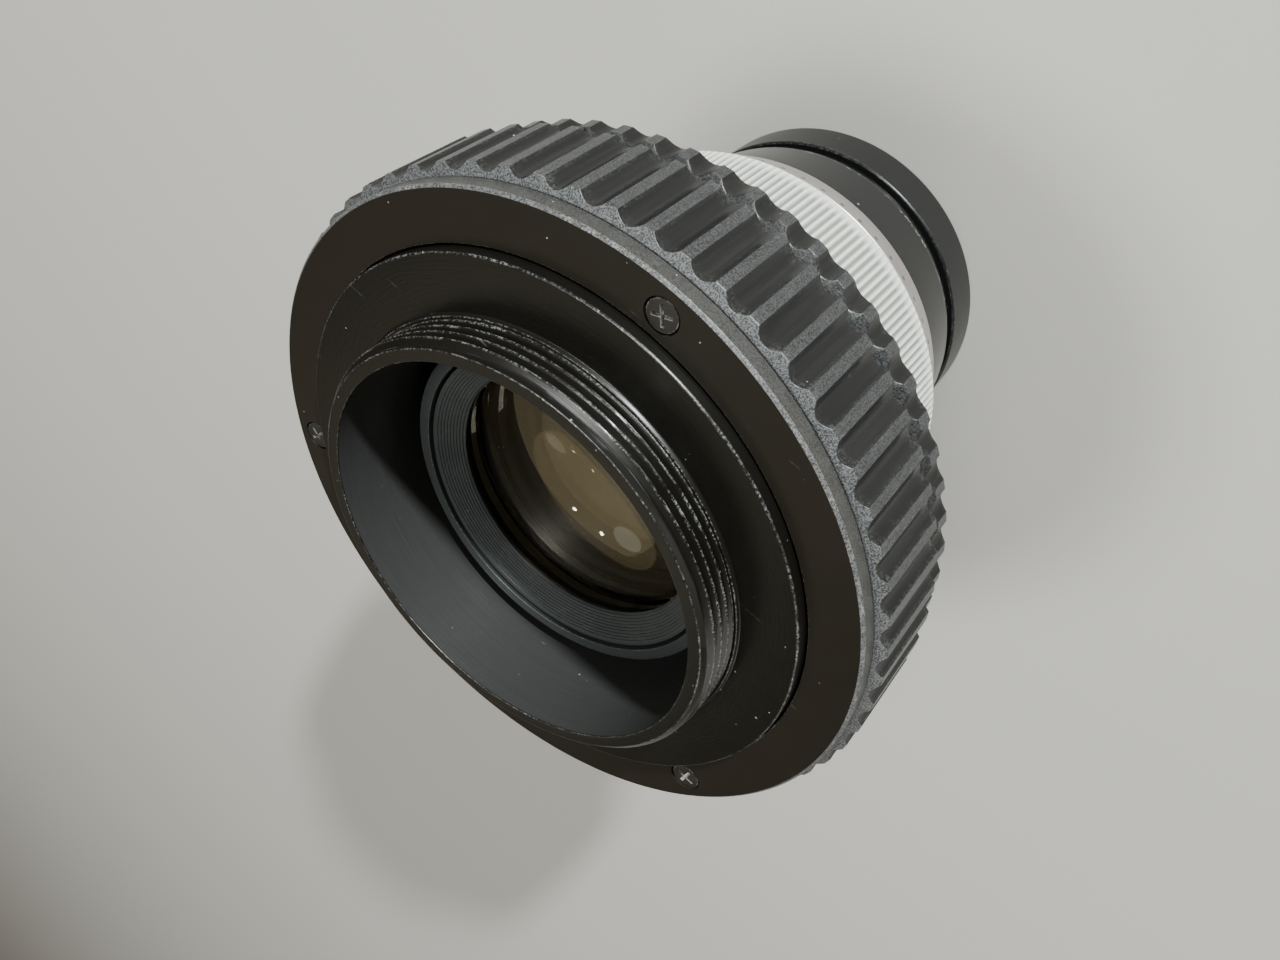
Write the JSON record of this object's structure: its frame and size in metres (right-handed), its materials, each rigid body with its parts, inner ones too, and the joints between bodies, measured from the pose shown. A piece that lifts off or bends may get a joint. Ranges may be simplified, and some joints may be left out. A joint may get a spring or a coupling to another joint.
{
  "type": "lens on focusing helicoid",
  "caption": "Photographic lens with knurled aperture ring, screwed into a black fluted focusing helicoid that ends in a threaded rear mount.",
  "frame": {"origin": "centre of the front ring's front face, on the optical axis", "axes": "+Z along the optical axis towards the rear screw mount; the rear plate's first screw lies towards +Y"},
  "size_m": [0.065, 0.065, 0.0604],
  "materials": {
    "grip_black": "satin black anodised, lightly blasted",
    "anodised_black": "matt black anodised",
    "gloss_black": "gloss black enamel",
    "lens_black": "satin black anodised",
    "silver_satin": "satin chrome, knurled",
    "silver_band": "satin silver, faintly warm",
    "coated_glass": "polished, amber coated",
    "brass": "turned",
    "black_screw": "blackened steel",
    "bright_steel": "bright",
    "blade_steel": "blued, matt",
    "nylon": "plain"
  },
  "bodies": {
    "lens": {"front_barrel": "grip_black", "adapter_ring": "anodised_black", "lens_rear_barrel": "lens_black", "lens_body": "gloss_black", "front_ring": "lens_black", "front_retainer": "lens_black", "front_cell": "lens_black", "front_element": "coated_glass", "front_inner_element": "coated_glass", "index_ring": "silver_band", "detent_ball": "bright_steel", "detent_spring": "bright_steel", "iris_base": "lens_black", "rear_cell": "lens_black", "rear_inner_element": "coated_glass", "rear_element": "coated_glass", "rear_retainer": "lens_black"},
    "aperture_control": {"aperture_ring": "silver_satin", "iris_cam_ring": "lens_black", "drive_screw": "bright_steel"},
    "rear_mount": {"mount_tube": "anodised_black", "rear_plate": "anodised_black", "rear_screw_1": "black_screw", "rear_screw_2": "black_screw", "rear_screw_3": "black_screw", "rear_barrel": "anodised_black", "guide_key_1": "brass", "guide_key_2": "brass", "key_screw_1": "bright_steel", "key_screw_2": "bright_steel"},
    "glide": {"glide_ring": "nylon"},
    "focus_grip": {"focus_ring": "grip_black", "helicoid_sleeve": "brass", "sleeve_screw_1": "bright_steel", "sleeve_screw_2": "bright_steel", "sleeve_screw_3": "bright_steel"},
    "blade_1": {"iris_blade_1": "blade_steel"},
    "blade_2": {"iris_blade_2": "blade_steel"},
    "blade_3": {"iris_blade_3": "blade_steel"},
    "blade_4": {"iris_blade_4": "blade_steel"},
    "blade_5": {"iris_blade_5": "blade_steel"},
    "blade_6": {"iris_blade_6": "blade_steel"}
  },
  "joints": [
    {"name": "mount_slide", "type": "slide", "parent": "lens", "child": "rear_mount", "axis": [0, 0, 1], "range_m": [0, 0.012]},
    {"name": "glide_slide", "type": "slide", "parent": "lens", "child": "glide", "axis": [0, 0, 1], "range_m": [0, 0.006]},
    {"name": "focus_turn", "type": "hinge", "parent": "glide", "child": "focus_grip", "pos_m": [0, 0, 0.0487], "axis": [0, 0, 1], "range_deg": [0, 288]},
    {"name": "aperture_turn", "type": "hinge", "parent": "lens", "child": "aperture_control", "pos_m": [0, 0, 0.027], "axis": [0, 0, 1], "range_deg": [0, 90]},
    {"name": "blade_1_swing", "type": "hinge", "parent": "lens", "child": "blade_1", "pos_m": [0.0149, 0, 0.01818], "axis": [0, 0, 1], "range_deg": [0, 34]},
    {"name": "blade_2_swing", "type": "hinge", "parent": "lens", "child": "blade_2", "pos_m": [0.00745, 0.0129, 0.01858], "axis": [0, 0, 1], "range_deg": [0, 34]},
    {"name": "blade_3_swing", "type": "hinge", "parent": "lens", "child": "blade_3", "pos_m": [-0.00745, 0.0129, 0.01897], "axis": [0, 0, 1], "range_deg": [0, 34]},
    {"name": "blade_4_swing", "type": "hinge", "parent": "lens", "child": "blade_4", "pos_m": [-0.0149, 0, 0.01937], "axis": [0, 0, 1], "range_deg": [0, 34]},
    {"name": "blade_5_swing", "type": "hinge", "parent": "lens", "child": "blade_5", "pos_m": [-0.00745, -0.0129, 0.01978], "axis": [0, 0, 1], "range_deg": [0, 34]},
    {"name": "blade_6_swing", "type": "hinge", "parent": "lens", "child": "blade_6", "pos_m": [0.00745, -0.0129, 0.02017], "axis": [0, 0, 1], "range_deg": [0, 34]}
  ],
  "couplings": [
    {"joint": "mount_slide", "follows": "focus_turn", "m_per_rad": 0.0023873},
    {"joint": "glide_slide", "follows": "focus_turn", "m_per_rad": 0.0011937},
    {"joint": "blade_1_swing", "follows": "aperture_turn", "ratio": 0.3777},
    {"joint": "blade_2_swing", "follows": "aperture_turn", "ratio": 0.3777},
    {"joint": "blade_3_swing", "follows": "aperture_turn", "ratio": 0.3777},
    {"joint": "blade_4_swing", "follows": "aperture_turn", "ratio": 0.3777},
    {"joint": "blade_5_swing", "follows": "aperture_turn", "ratio": 0.3777},
    {"joint": "blade_6_swing", "follows": "aperture_turn", "ratio": 0.3777}
  ]
}
